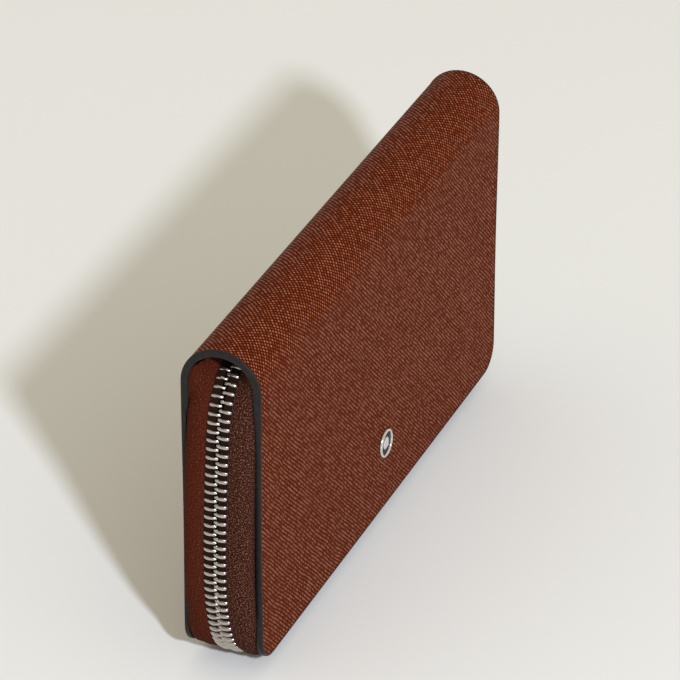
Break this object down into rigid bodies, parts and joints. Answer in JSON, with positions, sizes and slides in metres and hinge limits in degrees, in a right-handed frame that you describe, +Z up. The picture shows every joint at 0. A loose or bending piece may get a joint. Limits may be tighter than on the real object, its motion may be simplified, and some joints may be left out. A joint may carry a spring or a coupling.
{
  "type": "zip around wallet",
  "caption": "Long leather wallet with a rounded spine, a metal zip round its three open sides, a zipped coin pocket, card slots and folded end gussets.",
  "frame": {"origin": "below the middle of the spine, on the outer face of the zip that the closed wallet stands on", "axes": "+Z up towards the spine, +X along the wallet to the end where the closed slider rests, -Y out of the front cover with the badge"},
  "size_m": [0.2079, 0.0262, 0.1105],
  "materials": {
    "cover_leather": "cross-hatched embossed calf leather, semi-matt",
    "lining_leather": "smooth thin calf leather, matt",
    "stiffener": "pressed fibre board",
    "zip_tape": "herringbone woven polyester tape",
    "zip_teeth": "polished",
    "pull_metal": "polished",
    "badge_metal": "polished"
  },
  "bodies": {
    "rear": {"rear_leather": "cover_leather", "rear_board": "stiffener", "rear_lining": "lining_leather", "rear_card_slot_1": "lining_leather", "rear_card_slot_2": "lining_leather", "rear_card_slot_3": "lining_leather", "rear_card_slot_4": "lining_leather", "rear_zip_tape": "zip_tape", "rear_zip_teeth": "zip_teeth"},
    "spine": {"spine_leather": "cover_leather", "spine_board": "stiffener", "spine_lining": "lining_leather", "zip_end_tapes": "zip_tape", "zip_end_teeth": "zip_teeth", "zip_stops": "zip_teeth", "gusset_near_rear": "lining_leather", "gusset_near_front": "lining_leather", "gusset_far_rear": "lining_leather", "gusset_far_front": "lining_leather", "coin_pocket_rear": "lining_leather", "coin_pocket_front": "lining_leather", "coin_tape_rear": "zip_tape", "coin_tape_front": "zip_tape", "coin_teeth_rear": "zip_teeth", "coin_teeth_front": "zip_teeth"},
    "front": {"front_leather": "cover_leather", "front_board": "stiffener", "front_lining": "lining_leather", "front_card_slot_1": "lining_leather", "front_card_slot_2": "lining_leather", "front_card_slot_3": "lining_leather", "front_card_slot_4": "lining_leather", "front_zip_tape": "zip_tape", "front_zip_teeth": "zip_teeth", "badge_bezel": "badge_metal", "badge_dome": "badge_metal", "badge_rivet": "badge_metal"},
    "slider": {"zip_slider": "pull_metal"},
    "puller": {"zip_puller": "pull_metal"},
    "purse_slider": {"coin_slider": "pull_metal"},
    "purse_puller": {"coin_puller": "pull_metal"}
  },
  "joints": [
    {"name": "rear_hinge", "type": "hinge", "parent": "rear", "child": "spine", "pos_m": [0, 0.0125, 0.098], "axis": [-1, 0, 0], "range_deg": [0, 35]},
    {"name": "front_hinge", "type": "hinge", "parent": "spine", "child": "front", "pos_m": [0, -0.0125, 0.098], "axis": [-1, 0, 0], "range_deg": [0, 35]},
    {"name": "zip_run", "type": "hinge", "parent": "spine", "child": "slider", "pos_m": [-0.22849, 0, 0.03739], "axis": [0, 1, 0], "range_deg": [0, 7.1]},
    {"name": "puller_swing", "type": "hinge", "parent": "slider", "child": "puller", "pos_m": [0.1018, 0, 0.0806], "axis": [0, -1, 0], "range_deg": [0, 165]},
    {"name": "purse_run", "type": "slide", "parent": "spine", "child": "purse_slider", "axis": [-1, 0, 0], "range_m": [0, 0.12]},
    {"name": "purse_puller_swing", "type": "hinge", "parent": "purse_slider", "child": "purse_puller", "pos_m": [0.06, 0, 0.0185], "axis": [0, 1, 0], "range_deg": [-85, 85]}
  ],
  "couplings": [
    {"joint": "front_hinge", "follows": "rear_hinge", "ratio": 1}
  ]
}
